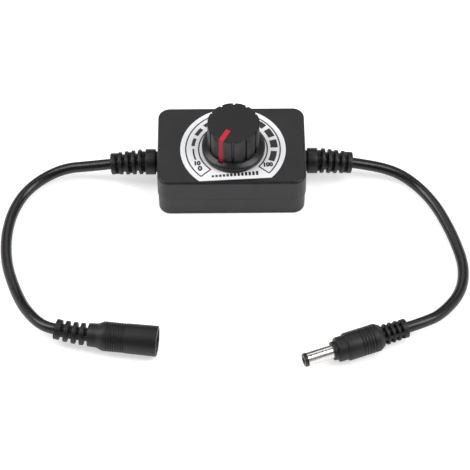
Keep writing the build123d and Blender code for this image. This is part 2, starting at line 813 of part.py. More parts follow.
def make_plug_shell():
    """Moulded plug body: flange, step, grooved body, shoulder and windowed relief."""
    step_start = barrel_reach + flange_length
    body_start = step_start + step_length
    body_end = body_start + plug_body_length
    relief_start = body_end + plug_shoulder_length + plug_relief_lead
    edge = plug_edge_round
    body = turned([(0, barrel_reach), (flange_radius - edge / 2, barrel_reach),
                   (flange_radius, barrel_reach + edge / 2), (flange_radius, step_start),
                   (step_radius - edge, step_start), (step_radius, step_start + edge),
                   (step_radius, body_start), (plug_body_radius - edge, body_start),
                   (plug_body_radius, body_start + edge), (plug_body_radius, body_end - edge),
                   (plug_body_radius - edge / 2, body_end),
                   (plug_relief_radius, relief_start - plug_relief_lead),
                   (plug_relief_radius, relief_start), (0, relief_start)])
    for groove in groove_rings(body_start + plug_groove_start, plug_groove_count, plug_groove_pitch,
                               plug_groove_width, plug_groove_depth, plug_body_radius):
        body -= groove
    body -= rod(barrel_neck_radius, 0, barrel_reach + barrel_grip)
    body -= rod(barrel_root_radius, barrel_reach + barrel_grip, barrel_reach + barrel_root)
    sections = [(plug_gap, radius, plug_ring_width) for radius in plug_ring_radii]
    sections.append((plug_gap, plug_end_radius, plug_end_length))
    run, end = ribbed_run(sections, plug_core_radius, plug_web_radius, plug_web_width,
                          [(plug_web_turn, plug_web_turn + 90)], (0, 0))
    start = Pos(0, 0, relief_start - SEAM)
    return plug_place() * (body + start * run), plug_place() * start * end


def make_plug_barrel():
    """Metal barrel of the plug, with a neck and a wider root that hold it in the moulding."""
    barrel = rod(barrel_radius, tip_length, barrel_reach)
    barrel += rod(barrel_neck_radius, barrel_reach - SEAM, barrel_reach + barrel_grip)
    barrel += rod(barrel_root_radius, barrel_reach + barrel_grip, barrel_reach + barrel_root)
    barrel -= rod(barrel_radius - barrel_wall, tip_length - PAST, barrel_reach + barrel_root + PAST)
    return plug_place() * barrel


def make_plug_tip():
    """Black insulator between barrel and contact, with its rim at the front."""
    liner_radius = barrel_radius - barrel_wall
    liner = turned([(0, 0), (barrel_radius - tip_chamfer, 0), (barrel_radius, tip_chamfer),
                    (barrel_radius, tip_length), (liner_radius, tip_length),
                    (liner_radius, barrel_reach + barrel_root), (0, barrel_reach + barrel_root)])
    liner -= rod(tip_bore_radius, -PAST, tip_length / 2)
    liner -= rod(plug_bore_radius + contact_wall, tip_length / 2, barrel_reach + barrel_root + PAST)
    return plug_place() * liner


def make_plug_contact():
    """Inner contact tube, closed at its root, which takes a socket's centre pin."""
    outer = plug_bore_radius + contact_wall
    contact = rod(outer, tip_length / 2, barrel_reach + barrel_root)
    contact -= rod(plug_bore_radius, 0, tip_length / 2 + plug_bore_depth)
    return plug_place() * contact


def build_all():
    """Make every piece, under the name of its node."""
    supply_relief, supply_end = make_relief(-1, supply_relief_droop)
    motor_relief, motor_end = make_relief(1, motor_relief_droop)
    jack_shell, jack_end = make_jack_shell()
    plug_shell, plug_end = make_plug_shell()
    supply_points = whole_route(supply_end, supply_route, jack_end, jack_exit_run)
    motor_points = whole_route(motor_end, motor_route, plug_end, plug_exit_run)
    return {
        "top_case": make_top_case(),
        "bottom_case": make_bottom_case(),
        "case_screws": make_case_screws(),
        "dial_label": make_dial_label(),
        "circuit_board": make_circuit_board(),
        "pot_housing": make_pot_housing(),
        "pot_switch": make_pot_switch(),
        "pot_track": make_pot_track(),
        "pot_terminals": make_pot_terminals(),
        "pot_washer": make_pot_washer(),
        "pot_nut": make_pot_nut(),
        "pot_shaft": make_pot_shaft(),
        "pot_wiper": make_pot_wiper(),
        "knob": make_knob(),
        "pointer_line": make_pointer_line(),
        "timer_chip": make_timer_chip(),
        "electrolytic_capacitor": make_electrolytic_capacitor(),
        "power_transistor": make_power_transistor(),
        "flyback_diode": make_flyback_diode(),
        "resistors": make_resistors(),
        "disc_capacitors": make_disc_capacitors(),
        "supply_relief": supply_relief,
        "motor_relief": motor_relief,
        "supply_wires": make_wires(-1),
        "motor_wires": make_wires(1),
        "supply_cord": make_cord("supply_cord", supply_points),
        "motor_cord": make_cord("motor_cord", motor_points),
        "jack_shell": jack_shell,
        "jack_liner": make_jack_liner(),
        "jack_sleeve": make_jack_sleeve(),
        "jack_pin": make_jack_pin(),
        "plug_shell": plug_shell,
        "plug_barrel": make_plug_barrel(),
        "plug_tip": make_plug_tip(),
        "plug_contact": make_plug_contact(),
    }


os.makedirs("parts", exist_ok=True)
for node, piece in build_all().items():
    export_step(piece, f"parts/{node}.step")
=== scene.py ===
import bmesh
import bpy
import math
from mathutils import Matrix, Vector


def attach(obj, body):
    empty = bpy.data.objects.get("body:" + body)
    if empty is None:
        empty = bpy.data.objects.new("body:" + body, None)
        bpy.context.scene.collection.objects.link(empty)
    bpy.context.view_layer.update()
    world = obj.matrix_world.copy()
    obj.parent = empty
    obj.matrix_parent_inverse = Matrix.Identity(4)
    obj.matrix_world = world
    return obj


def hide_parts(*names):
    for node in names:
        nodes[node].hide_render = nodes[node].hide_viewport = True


# The looks of an inline speed controller: finishes, cords, moulded reliefs and connectors,
# the dial's print, the fluted knob, and a pale table under soft light.
# Sizes are in millimetres, as on the real object, and MM turns them into Blender's metres.
# Only the lamps and the table are given in metres. Angles are in degrees.

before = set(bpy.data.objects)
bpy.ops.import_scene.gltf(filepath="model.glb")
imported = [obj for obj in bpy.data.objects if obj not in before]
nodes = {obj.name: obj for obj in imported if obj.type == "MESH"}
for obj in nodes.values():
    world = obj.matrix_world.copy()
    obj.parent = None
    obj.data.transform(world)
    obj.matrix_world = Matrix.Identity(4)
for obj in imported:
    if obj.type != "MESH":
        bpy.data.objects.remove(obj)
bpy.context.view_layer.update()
MM = 0.001

# Camera, fitted to the photograph's 470 x 470 frame
view_azimuth = -0.56
view_elevation = 53.25
view_distance = 850.0
view_aim = (1.26, -19.74, -14.73)
view_lens = 155.6
view_sensor = 36.0

# Box
box_end = 30.4
box_wall = 1.8
cord_height = 10.0

# Dial: where the foil lies, and how its print is turned and lifted
label_middle = (0.6, -2.2)
label_top = 20.75
label_turn = 3.2
print_lift = 0.015

# Scale: line width, then rings and bars as (inner radius, outer radius, first angle, last angle)
line_width = 0.56
outer_ring = (19.35 - line_width / 2, 19.35 + line_width / 2, -41.2, 227.6)
inner_ring = (14.05 - line_width / 2, 14.05 + line_width / 2, -41.8, 229.4)
ring_ends = (14.0, 19.4)
scale_bars = [
    (15.9, 16.6, 200.1, 179.3), (15.8, 17.15, 174.4, 160.2), (15.85, 17.5, 154.2, 140.0),
    (15.9, 17.6, 134.0, 120.2), (15.9, 17.8, 114.6, 100.8), (15.9, 18.0, 95.2, 81.2),
    (15.9, 18.3, 75.6, 61.6), (15.9, 18.6, 56.0, 41.6), (15.75, 18.5, 35.9, 21.4),
    (15.45, 18.4, 15.7, 2.0), (15.5, 18.05, -4.3, -22.3)]

# Row of small blocks along the front of the dial
row_middle = (1.3, -15.5)
row_count = 13
row_pitch = 1.5
row_block = 1.0
row_foot = 0.95
row_rise = 1.0
row_growth = 0.09

# Numbers on the dial: name, digits, place and height
number_weight = 0.21
dial_numbers = [("digit_low", "0", (-12.9, -12.4), 3.2), ("digit_first", "10", (-14.1, -9.7), 2.7),
                ("digit_high", "100", (14.7, -10.6), 2.7)]

# Knob: its axis and the heights and radii of its body
knob_middle = (0.8, -2.2)
knob_steps = 720
knob_radius = 10.65
knob_high = 37.3
knob_edge = 0.25
knob_edge_turns = range(0, 91, 18)
knob_rim = 0.35
knob_shares = (0.3, 0.6, 0.85)
knob_foot = 23.6
knob_levels = (36.0, 32.0, 28.0, 25.0, knob_foot)
lobe_radius = 7.5
lobe_pitch = 30.0
lobe_turn = -32.0
flute_width = 0.85
flute_depth = 0.6
flute_blend = 0.16

# Skirt, with a pocket that takes the pointer's end
skirt_inside = 8.15
skirt_low = 21.2
skirt_radius = 12.95
skirt_rim = 23.3
skirt_top = 24.3
skirt_top_radius = 10.75
pocket_width = 2.1
pocket_end = 11.45
pocket_wall = 0.03
slope_radii = (12.4, 11.9, pocket_end + pocket_wall, pocket_end - pocket_wall, 11.1, skirt_top_radius)
skirt_inner = [(10.3, skirt_top + 0.02), (9.6, skirt_top), (skirt_inside, skirt_top)]

# Pointer: the direction it rests in, and its strip
pointer_angle = 241.0
pointer_start = 4.33
pointer_face = 10.58
pointer_low = 23.0
pointer_lift = 0.08
pointer_width = 2.04
pointer_depth = 0.8
pointer_edge = 0.1
pointer_fold = 50.0

# Ribbed reliefs: each section is (gap before the ring, ring radius, ring width), and each web
# in a gap is (turn, reach, thickness). Cores and webs run a little into the rings beside them.
core_overlap = 0.3
web_overlap = 0.15
web_edge = 0.25

# Steps round a turned shape: reliefs' cores, their rings, and the connectors' bodies
core_steps = 48
ring_steps = 72
body_steps = 96

# Strain reliefs at the box: the anchor inside the wall, the neck through it, and the collar
anchor_length = 3.9
anchor_root = 2.9
anchor_plate = 1.55
anchor_radius = 5.4
wall_gap = 0.05
neck_radius = 4.35
collar_start = 31.3
collar_length = 4.25
collar_radius = 5.3
relief_sections = [(1.4, 5.15, 1.35), (1.4, 5.02, 1.35), (1.4, 4.88, 1.35), (1.4, 4.7, 1.35),
                   (1.4, 4.45, 1.9)]
relief_core = 2.4
relief_webs = [[(53.0, 4.4, 3.8)], [(17.0, 3.95, 1.7), (-85.0, 3.95, 1.7)]]
relief_edge = 0.35
relief_droop = {-1: 5.5, 1: 7.0}

# Socket: the mouth's place and the heading back along it. A turned outline's corners are
# (radius, distance along the axis, rounding).
jack_mouth = (-29.6, -86.8, 6.1)
jack_heading = 172.8
jack_bore = 4.5
jack_depth = 12.0
jack_front = [(6.1, 0, 0.45), (5.93, 12.5, 0.1)]
jack_groove_start = 12.7
jack_grooves = {"count": 8, "pitch": 0.96, "width": 0.42, "depth": 0.26, "radius": 5.88}
jack_back = [(5.86, 21.4, 0.5), (4.8, 23.7, 0.5), (4.6, 27.4, 0.3)]
jack_sections = [(1.5, 4.45, 1.6), (1.5, 4.35, 1.6), (1.55, 4.22, 1.65), (1.5, 4.06, 2.3)]
jack_core = 2.35
jack_webs = [[(116.0, 3.7, 2.2)]]
jack_edge = 0.35
jack_bends = [(-1.8, 1.3)]

# Plug: the tip's place and the heading back along it, the lengths of the moulding's parts from
# the barrel's end backwards, and their radii
plug_tip = (27.18, -95.94, 5.6)
plug_heading = 20.1
barrel_reach = 11.95
plug_seat = (3.05, 3.0)
plug_throat = (2.76, 0.6)
flange_length, flange_radius = 1.9, 3.75
step_length, step_radius = 3.7, 4.95
body_length, body_radius = 13.2, 5.6
dome_length, dome_radius = 2.2, 4.35
plug_neck = 4.0
plug_groove_start = 5.9
plug_grooves = {"count": 5, "pitch": 1.2, "width": 0.5, "depth": 0.3, "radius": body_radius}
plug_sections = [(1.3, 4.2, 1.0), (1.3, 4.1, 1.0), (1.3, 4.0, 1.0), (1.3, 3.85, 2.2)]
plug_core = 2.4
plug_webs = [[(63.0, 3.85, 1.3), (153.0, 3.85, 1.3)]]
plug_edge = 0.3
plug_bends = [(0, 0)]

# Finishes: the sizes of the patches in which tone and roughness vary, and the grain's detail
tone_patch = 6.0
rough_patch = 1.5
grain_detail = 3.0

# Cords: diameter and the points that each route goes by, from the box to the connector
cord_diameter = 4.5
supply_route = [
    (-49.77, 0.0, 8.79), (-58.66, 0.0, 7.39), (-68.9, 0.6, 5.5), (-78.2, -2.7, 3.3),
    (-85.6, -9.4, 2.25), (-90.0, -18.9, 2.25), (-91.9, -29.0, 2.25), (-92.0, -38.6, 2.25),
    (-90.8, -47.4, 2.25), (-88.3, -55.6, 2.25), (-85.1, -63.9, 2.9), (-81.3, -71.6, 4.9),
    (-74.6, -79.9, 6.7), (-69.75, -81.15, 7.0)]
motor_route = [
    (49.72, 0.0, 8.39), (58.52, 0.0, 6.52), (69.0, -2.0, 4.4), (77.3, -7.8, 2.4),
    (83.4, -16.7, 2.25), (87.4, -26.1, 2.25), (90.9, -37.0, 2.25), (93.5, -49.8, 2.25),
    (91.2, -62.2, 2.25), (82.6, -73.5, 4.0), (75.44, -78.28, 5.6), (67.93, -81.03, 5.6)]

# Table: half its width, its tone, and its glow as the camera and as reflections see it
table_half = 3.0
table_tone = 0.80
table_seen = 0.55
table_mirrored = 0.36

# Surroundings: spans of height and of distance aside, each with the levels at its ends
sky_span, sky_levels = (0.15, 0.50), (1.0, 0.22)
side_span, side_levels = (0.25, 0.60), (0.10, 1.0)

# Lamps: name, place, size and power, all of them aimed at the same point
lamp_aim = (0, -0.03, 0)
lamps = [("left_lamp", (-0.70, 0.04, 0.92), (0.58, 0.84), 7.9),
         ("right_lamp", (0.66, -0.18, 0.94), (0.60, 0.90), 8.2),
         ("back_lamp", (0.0, 0.85, 1.10), (1.2, 0.6), 3.1),
         ("front_lamp", (0.0, -0.78, 1.04), (1.0, 0.36), 0.35)]


def metres(point):
    """A point in millimetres as one in metres."""
    return Vector(point) * MM


def direction(angle):
    """Level unit vector, with its angle counted from the right towards the back."""
    turn = math.radians(angle)
    return Vector((math.cos(turn), math.sin(turn), 0))


def show(thing):
    """Put an object into the scene."""
    bpy.context.scene.collection.objects.link(thing)


# Finishes

def new_material(name):
    """New material with its node tree and its shader."""
    material = bpy.data.materials.new(name)
    material.use_nodes = True
    tree = material.node_tree
    return material, tree, tree.nodes["Principled BSDF"]


def noise(tree, size, detail=2.0):
    """Noise over the object's own coordinates, with grains of a size in millimetres."""
    place = tree.nodes.new("ShaderNodeTexCoord")
    texture = tree.nodes.new("ShaderNodeTexNoise")
    texture.inputs["Scale"].default_value = 1.0 / (size * MM)
    texture.inputs["Detail"].default_value = detail
    tree.links.new(place.outputs["Object"], texture.inputs["Vector"])
    return texture.outputs["Fac"]


def fade(tree, value, span, levels):
    """The value's span turned into a pair of levels."""
    ramp = tree.nodes.new("ShaderNodeMapRange")
    ramp.inputs["From Min"].default_value, ramp.inputs["From Max"].default_value = span
    ramp.inputs["To Min"].default_value, ramp.inputs["To Max"].default_value = levels
    tree.links.new(value, ramp.inputs["Value"])
    return ramp.outputs["Result"]


def clouds(tree, size, levels):
    """Soft patches that vary between two levels, from the middle range of noise."""
    return fade(tree, noise(tree, size), (0.3, 0.7), levels)


def tint(tree, value, first, second):
    """Colour between two, by a value from 0 to 1."""
    mix = tree.nodes.new("ShaderNodeMix")
    mix.data_type = "RGBA"
    mix.inputs["A"].default_value = (*first, 1.0)
    mix.inputs["B"].default_value = (*second, 1.0)
    tree.links.new(value, mix.inputs["Factor"])
    return mix.outputs["Result"]


def combine(tree, operation, first, second):
    """Two values joined by an operation."""
    node = tree.nodes.new("ShaderNodeMath")
    node.operation = operation
    tree.links.new(first, node.inputs[0])
    tree.links.new(second, node.inputs[1])
    return node.outputs[0]


def finish(name, tones, rough, grain, depth, metallic=0.0, specular=0.5):
    """Surface with two close tones, a roughness that varies, and a fine grain of some depth."""
    material, tree, shader = new_material(name)
    tone = tint(tree, clouds(tree, tone_patch, (0.0, 1.0)), *tones)
    tree.links.new(tone, shader.inputs["Base Color"])
    tree.links.new(clouds(tree, rough_patch, rough), shader.inputs["Roughness"])
    height = noise(tree, grain, grain_detail)
    bump = tree.nodes.new("ShaderNodeBump")
    bump.inputs["Distance"].default_value = depth * MM
    tree.links.new(height, bump.inputs["Height"])
    tree.links.new(bump.outputs["Normal"], shader.inputs["Normal"])
    shader.inputs["Metallic"].default_value = metallic
    shader.inputs["Specular IOR Level"].default_value = specular
    return material


def matt_top(material, more):
    """Roughness raised where a surface looks up, as on a knob's spark-eroded top."""
    tree = material.node_tree
    shader = tree.nodes["Principled BSDF"]
    plain = shader.inputs["Roughness"].links[0].from_socket
    face = tree.nodes.new("ShaderNodeNewGeometry")
    parts = tree.nodes.new("ShaderNodeSeparateXYZ")
    tree.links.new(face.outputs["True Normal"], parts.inputs[0])
    raised = fade(tree, parts.outputs["Z"], (0.95, 0.99), (0.0, more))
    tree.links.new(combine(tree, "ADD", plain, raised), shader.inputs["Roughness"])


def dress(material, *names):
    """Give CAD nodes a material."""
    for name in names:
        slots = nodes[name].data.materials
        slots.clear()
        slots.append(material)


def grey(low, high):
    """Two close neutral tones, a trace bluer than grey."""
    blue = 1.06
    return (low, low, low * blue), (high, high, high * blue)


case_plastic = finish("case_plastic", grey(0.009, 0.013), rough=(0.32, 0.40), grain=0.22, depth=0.02,
                      specular=0.39)
knob_plastic = finish("knob_plastic", grey(0.007, 0.009), rough=(0.27, 0.33), grain=0.18, depth=0.006,
                      specular=0.42)
matt_top(knob_plastic, 0.24)
relief_rubber = finish("relief_rubber", grey(0.004, 0.006), rough=(0.42, 0.50), grain=0.5, depth=0.01)
cord_jacket = finish("cord_jacket", grey(0.005, 0.007), rough=(0.24, 0.30), grain=0.8, depth=0.006)
connector_rubber = finish("connector_rubber", grey(0.005, 0.007), rough=(0.42, 0.50), grain=0.4,
                          depth=0.012, specular=0.44)
liner_plastic = finish("liner_plastic", grey(0.006, 0.009), rough=(0.25, 0.35), grain=0.6, depth=0.004)
pointer_red = finish("pointer_red", ((0.46, 0.008, 0.018), (0.52, 0.012, 0.024)), rough=(0.34, 0.40),
                     grain=0.3, depth=0.002, specular=0.35)
dial_foil = finish("dial_foil", ((0.86, 0.86, 0.88), (0.90, 0.90, 0.92)), rough=(0.34, 0.42),
                   grain=0.3, depth=0.002)
dial_ink = finish("dial_ink", grey(0.016, 0.022), rough=(0.40, 0.50), grain=0.2, depth=0.002)
nickel_plate = finish("nickel_plate", ((0.74, 0.72, 0.69), (0.80, 0.78, 0.75)), rough=(0.20, 0.26),
                      grain=0.5, depth=0.0006, metallic=1.0)
screw_steel = finish("screw_steel", ((0.32, 0.32, 0.33), (0.40, 0.40, 0.41)), rough=(0.28, 0.40),
                     grain=0.4, depth=0.004, metallic=1.0)
pot_brass = finish("pot_brass", ((0.62, 0.46, 0.20), (0.70, 0.54, 0.26)), rough=(0.25, 0.35),
                   grain=0.4, depth=0.004, metallic=1.0)
board_green = finish("board_green", ((0.01, 0.09, 0.03), (0.015, 0.12, 0.04)), rough=(0.30, 0.42),
                     grain=1.0, depth=0.004)
ceramic = finish("disc_ceramic", ((0.42, 0.16, 0.03), (0.50, 0.20, 0.04)), rough=(0.45, 0.60),
                 grain=0.5, depth=0.02)
lacquer = finish("resistor_lacquer", ((0.36, 0.24, 0.12), (0.44, 0.30, 0.16)), rough=(0.35, 0.50),
                 grain=0.5, depth=0.01)
sleeve_blue = finish("capacitor_sleeve", ((0.012, 0.02, 0.12), (0.018, 0.03, 0.16)), rough=(0.25, 0.35),
                     grain=0.6, depth=0.004)
chip_epoxy = finish("chip_epoxy", grey(0.012, 0.018), rough=(0.50, 0.62), grain=0.3, depth=0.008)
wire_red = finish("wire_insulation", ((0.26, 0.012, 0.012), (0.34, 0.02, 0.02)), rough=(0.35, 0.45),
                  grain=0.6, depth=0.006)

dress(case_plastic, "top_case", "bottom_case")
dress(dial_foil, "dial_label")
dress(liner_plastic, "jack_liner", "plug_tip", "pot_switch", "pot_track")
dress(nickel_plate, "jack_sleeve", "jack_pin", "plug_barrel", "plug_contact", "pot_terminals")
dress(screw_steel, "case_screws", "pot_housing", "pot_washer", "pot_nut")
dress(pot_brass, "pot_shaft", "pot_wiper")
dress(board_green, "circuit_board")
dress(ceramic, "disc_capacitors")
dress(lacquer, "resistors")
dress(sleeve_blue, "electrolytic_capacitor")
dress(chip_epoxy, "timer_chip", "power_transistor", "flyback_diode")
dress(wire_red, "supply_wires", "motor_wires")


# Camera and cords

def make_camera():
    """Camera at the photograph's angle, distance and frame."""
    azimuth, elevation = math.radians(view_azimuth), math.radians(view_elevation)
    out = Vector((math.sin(azimuth) * math.cos(elevation), -math.cos(azimuth) * math.cos(elevation),
                  math.sin(elevation)))
    data = bpy.data.cameras.new("photo_camera")
    data.lens = view_lens
    data.sensor_width = view_sensor
    data.clip_start = 0.01
    data.clip_end = 20.0
    camera = bpy.data.objects.new("photo_camera", data)
    camera.location = metres(Vector(view_aim) + out * view_distance)
    camera.rotation_euler = (-out).to_track_quat("-Z", "Y").to_euler()
    show(camera)
    bpy.context.scene.camera = camera


def make_cord(name, node, route, pieces):
    """Round cord on a smooth curve by the route's points, in place of its plain solid."""
    curve = bpy.data.curves.new(name, "CURVE")
    curve.dimensions = "3D"
    curve.resolution_u = 16
    curve.bevel_depth = cord_diameter / 2 * MM
    curve.bevel_resolution = 10
    spline = curve.splines.new("NURBS")
    spline.points.add(len(route) - 1)
    for point, place in zip(spline.points, route):
        point.co = (*metres(place), 1.0)
    spline.order_u = 3
    spline.use_endpoint_u = True
    curve.materials.append(cord_jacket)
    cord = bpy.data.objects.new(name, curve)
    show(cord)
    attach(cord, "controller")
    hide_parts(node)


# Shapes in mesh code

def soften(corners, steps=4):
    """Closed outline with rounded corners: each corner is (x, y) or (x, y, length of its rounding)."""
    points = []
    for index, corner in enumerate(corners):
        here = Vector(corner[:2])
        if len(corner) < 3:
            points.append(here)
            continue
        before = Vector(corners[index - 1][:2])
        after = Vector(corners[(index + 1) % len(corners)][:2])
        start = here + (before - here).normalized() * corner[2]
        end = here + (after - here).normalized() * corner[2]
        for step in range(steps + 1):
            share = step / steps
            points.append(start * (1 - share) ** 2 + here * 2 * share * (1 - share) + end * share ** 2)
    return points


def skin(bm, rows):
    """Faces between rows of points; each row is a closed loop, or a single point at a pole."""
    for first, second in zip(rows, rows[1:]):
        count = max(len(first), len(second))
        for index in range(count):
            after = (index + 1) % count
            corners = [first[index % len(first)], first[after % len(first)],
                       second[after % len(second)], second[index % len(second)]]
            bm.faces.new(list(dict.fromkeys(corners)))


def lathe(bm, corners, place, steps=ring_steps):
    """Turned shape about the Z axis from (radius, height, rounding) corners."""
    outline = soften(corners)
    turns = [2 * math.pi * step / steps for step in range(steps)]
    rows = []
    for radius, height in outline:
        if radius < 1e-6:
            rows.append([bm.verts.new(place @ Vector((0, 0, height)))])
        else:
            spots = [(radius * math.cos(turn), radius * math.sin(turn), height) for turn in turns]
            rows.append([bm.verts.new(place @ Vector(spot)) for spot in spots])
    on_axis = len(rows[0]) == 1
    skin(bm, rows if on_axis else rows + rows[:1])


def prism(bm, outline, low, high, place):
    """Straight solid from an outline between two heights."""
    base = [bm.verts.new(place @ Vector((x, y, low))) for x, y in outline]
    top = [bm.verts.new(place @ Vector((x, y, high))) for x, y in outline]
    skin(bm, [base, top])
    bm.faces.new(base)
    bm.faces.new(top)


def add_piece(name, bm, material, body, *replaced, sharp=38.0):
    """Turn mesh data in millimetres into a piece that rides on a body and may replace CAD nodes."""
    bmesh.ops.recalc_face_normals(bm, faces=bm.faces)
    bm.transform(Matrix.Scale(MM, 4))
    mesh = bpy.data.meshes.new(name)
    bm.to_mesh(mesh)
    bm.free()
    mesh.materials.append(material)
    mesh.shade_smooth()
    mesh.set_sharp_from_angle(angle=math.radians(sharp))
    piece = bpy.data.objects.new(name, mesh)
    show(piece)
    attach(piece, body)
    if replaced:
        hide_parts(*replaced)
    return piece


def frame_of(origin, x_axis, z_axis):
    """Placement with its local X and Z along two directions."""
    x_axis, z_axis = Vector(x_axis), Vector(z_axis)
    y_axis = z_axis.cross(x_axis)
    place = Matrix((x_axis, y_axis, z_axis)).transposed().to_4x4()
    place.translation = Vector(origin)
    return place


def along(distance):
    """Step along local Z."""
    return Matrix.Translation((0, 0, distance))


def turned(angle, axis):
    """Turn about a local axis."""
    return Matrix.Rotation(math.radians(angle), 4, axis)


# Reliefs and connectors

def web_outline(core, radius, width):
    """Section of a web between two rings: from inside the core out to a curved, softened back."""
    half = width / 2
    reach = math.sqrt(radius ** 2 - half ** 2)
    lean = math.asin(half / radius)
    back = [(radius * math.cos(a), radius * math.sin(a)) for a in (-lean / 2, 0.0, lean / 2)]
    return soften([(core / 2, -half), (reach, -half, web_edge), *back, (reach, half, web_edge),
                   (core / 2, half)])


def ribbed_run(bm, place, sections, core, webs, bends, edge):
    """Moulded relief along local Z. Before each ring is a gap with webs, and the run bends there."""
    for index, (gap, radius, width) in enumerate(sections):
        lathe(bm, [(0, -core_overlap), (core, -core_overlap), (core, gap + core_overlap),
                   (0, gap + core_overlap)], place, core_steps)
        for turn, reach, thickness in webs[index % len(webs)]:
            for side in (0, 180):
                prism(bm, web_outline(core, reach, thickness), -web_overlap, gap + web_overlap,
                      place @ turned(turn + side, "Z"))
        swing, rise = bends[min(index, len(bends) - 1)]
        place = place @ along(gap) @ turned(swing, "X") @ turned(rise, "Y")
        lathe(bm, [(0, 0), (radius, 0, edge), (radius, width, edge), (0, width)], place)
        place = place @ along(width)


def make_relief(name, node, side):
    """Strain relief at the box: anchor inside, neck, collar, and rings with staggered webs."""
    bm = bmesh.new()
    place = frame_of((0, 0, cord_height), (0, side, 0), (side, 0, 0))
    inner = box_end - box_wall
    collar_end = collar_start + collar_length
    lathe(bm, [(0, inner - anchor_length), (anchor_root, inner - anchor_length, 0.2),
               (anchor_root, inner - anchor_plate), (anchor_radius, inner - anchor_plate, 0.2),
               (anchor_radius, inner - wall_gap, 0.2), (neck_radius, inner - wall_gap),
               (neck_radius, collar_start), (collar_radius, collar_start, 0.45),
               (collar_radius, collar_end, 0.55), (0, collar_end)], place)
    webs = [[(90 - side * turn, reach, thickness) for turn, reach, thickness in gap]
            for gap in relief_webs]
    ribbed_run(bm, place @ along(collar_end), relief_sections, relief_core, webs,
               [(relief_droop[side], 0), (0, 0)], relief_edge)
    add_piece(name, bm, relief_rubber, "controller", node)


def grooves(start, count, pitch, width, depth, radius):
    """Corners of fine grooves in a turned outline, with sloping sides and soft edges."""
    lip, floor = 0.08, 0.06
    corners = []
    for index in range(count):
        low = start + index * pitch
        corners += [(radius, low, lip), (radius - depth, low + width * 0.35, floor),
                    (radius - depth, low + width * 0.65, floor), (radius, low + width, lip)]
    return corners


def make_jack():
    """Socket body, hollow at the mouth, with fine grooves, sloping shoulder, neck and ringed relief."""
    bm = bmesh.new()
    place = frame_of(jack_mouth, (0, 0, 1), direction(jack_heading))
    neck_end = jack_back[-1][1]
    lathe(bm, [(0, jack_depth), (jack_bore, jack_depth), (jack_bore, 0, 0.15), *jack_front,
               *grooves(jack_groove_start, **jack_grooves), *jack_back, (0, neck_end)],
          place, body_steps)
    ribbed_run(bm, place @ along(neck_end), jack_sections, jack_core, jack_webs, jack_bends, jack_edge)
    return add_piece("jack_moulding", bm, connector_rubber, "controller", "jack_shell")


def make_plug():
    """Plug body: flange, step, grooved body, domed shoulder and windowed relief."""
    bm = bmesh.new()
    place = frame_of(plug_tip, (0, 0, 1), direction(plug_heading))
    step = barrel_reach + flange_length
    body = step + step_length
    dome = body + body_length
    end = dome + dome_length
    seat_radius, seat_depth = plug_seat
    throat_radius, throat_depth = plug_throat
    lathe(bm, [(0, barrel_reach + seat_depth), (seat_radius, barrel_reach + seat_depth),
               (seat_radius, barrel_reach + throat_depth), (throat_radius, barrel_reach + throat_depth),
               (throat_radius, barrel_reach), (flange_radius, barrel_reach, 0.35),
               (flange_radius, step, 0.1), (step_radius, step, 0.5), (step_radius, body, 0.1),
               (body_radius, body, 0.45), *grooves(body + plug_groove_start, **plug_grooves),
               (body_radius, dome, 0.4), (dome_radius, end - 0.1, 0.4), (plug_neck, end, 0.15),
               (0, end)],
          place, body_steps)
    ribbed_run(bm, place @ along(end), plug_sections, plug_core, plug_webs, plug_bends, plug_edge)
    return add_piece("plug_moulding", bm, connector_rubber, "controller", "plug_shell")


# Knob

def lobe_reach(off):
    """Radius of the knob's lobe at an angle in radians off the lobe's middle."""
    middle = knob_radius - lobe_radius
    return middle * math.cos(off) + math.sqrt(lobe_radius ** 2 - (middle * math.sin(off)) ** 2)


def fluted_radius(angle):
    """Radius of the knob's body in a direction, with its lobes and the flutes between them."""
    half = math.radians(lobe_pitch / 2)
    off = math.radians((angle - lobe_turn) % lobe_pitch - lobe_pitch / 2)
    radius = lobe_reach(off)
    aside = radius * math.sin(half - abs(off))
    share = min(max((aside - flute_width / 2 + flute_blend / 2) / flute_blend, 0.0), 1.0)
    share = share * share * (3 - 2 * share)
    return (lobe_reach(half) - flute_depth) * (1 - share) + radius * share


